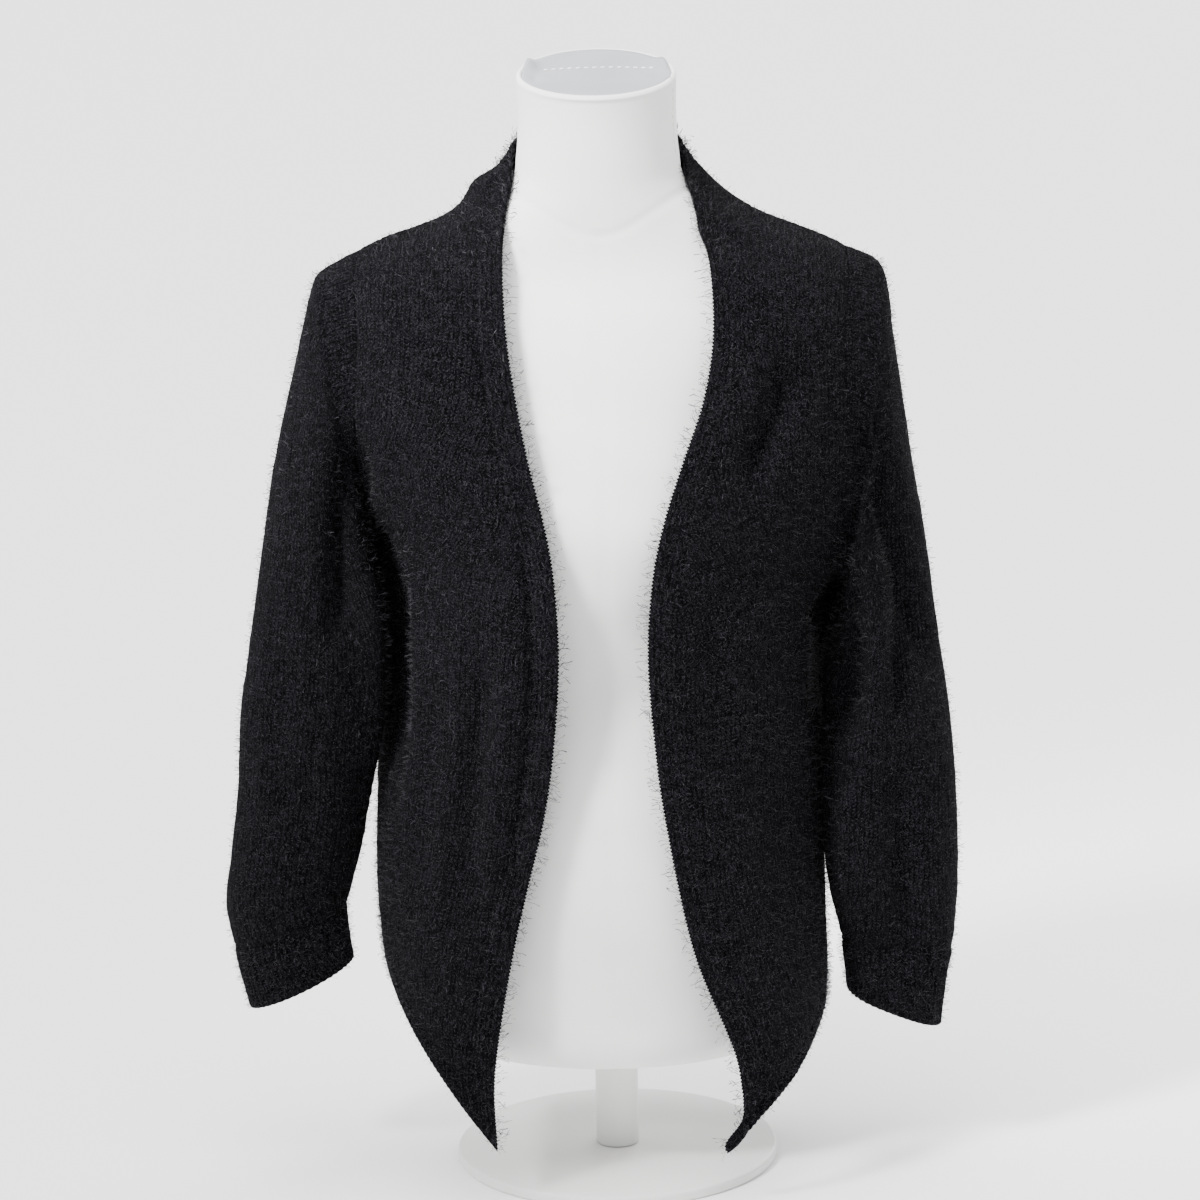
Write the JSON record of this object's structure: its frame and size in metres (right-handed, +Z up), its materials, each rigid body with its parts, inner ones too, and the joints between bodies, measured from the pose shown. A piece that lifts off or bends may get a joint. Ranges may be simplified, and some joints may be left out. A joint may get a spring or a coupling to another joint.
{
  "type": "open-front knitted cardigan on a dress form",
  "caption": "Open-front knitted cardigan with long pointed fronts, ribbed cuffs and a narrow front band, resting on a covered limbless dress form on a round plate stand.",
  "frame": {"origin": "middle of the base plate's underside, on the surface that it stands on", "axes": "+Z up, -Y out of the open front, +X towards the wearer's left"},
  "size_m": [0.5407, 0.2441, 0.8209],
  "materials": {
    "panel_knit": "brushed black stocking-stitch knit",
    "rib_knit": "black rib knit",
    "band_knit": "black knitted band",
    "form_cover": "smooth white stretch cover",
    "cap_cover": "smooth white stretch cover",
    "stand_enamel": "white satin enamel"
  },
  "bodies": {
    "root": {"back": "panel_knit", "cuff_left": "rib_knit", "cuff_right": "rib_knit", "dress_form": "form_cover", "front_band": "band_knit", "front_left": "panel_knit", "front_right": "panel_knit", "hem_back": "rib_knit", "hem_left": "rib_knit", "hem_right": "rib_knit", "neck_cap": "cap_cover", "sleeve_left": "panel_knit", "sleeve_right": "panel_knit", "stand_base": "stand_enamel", "stand_pole": "stand_enamel"}
  },
  "joints": []
}
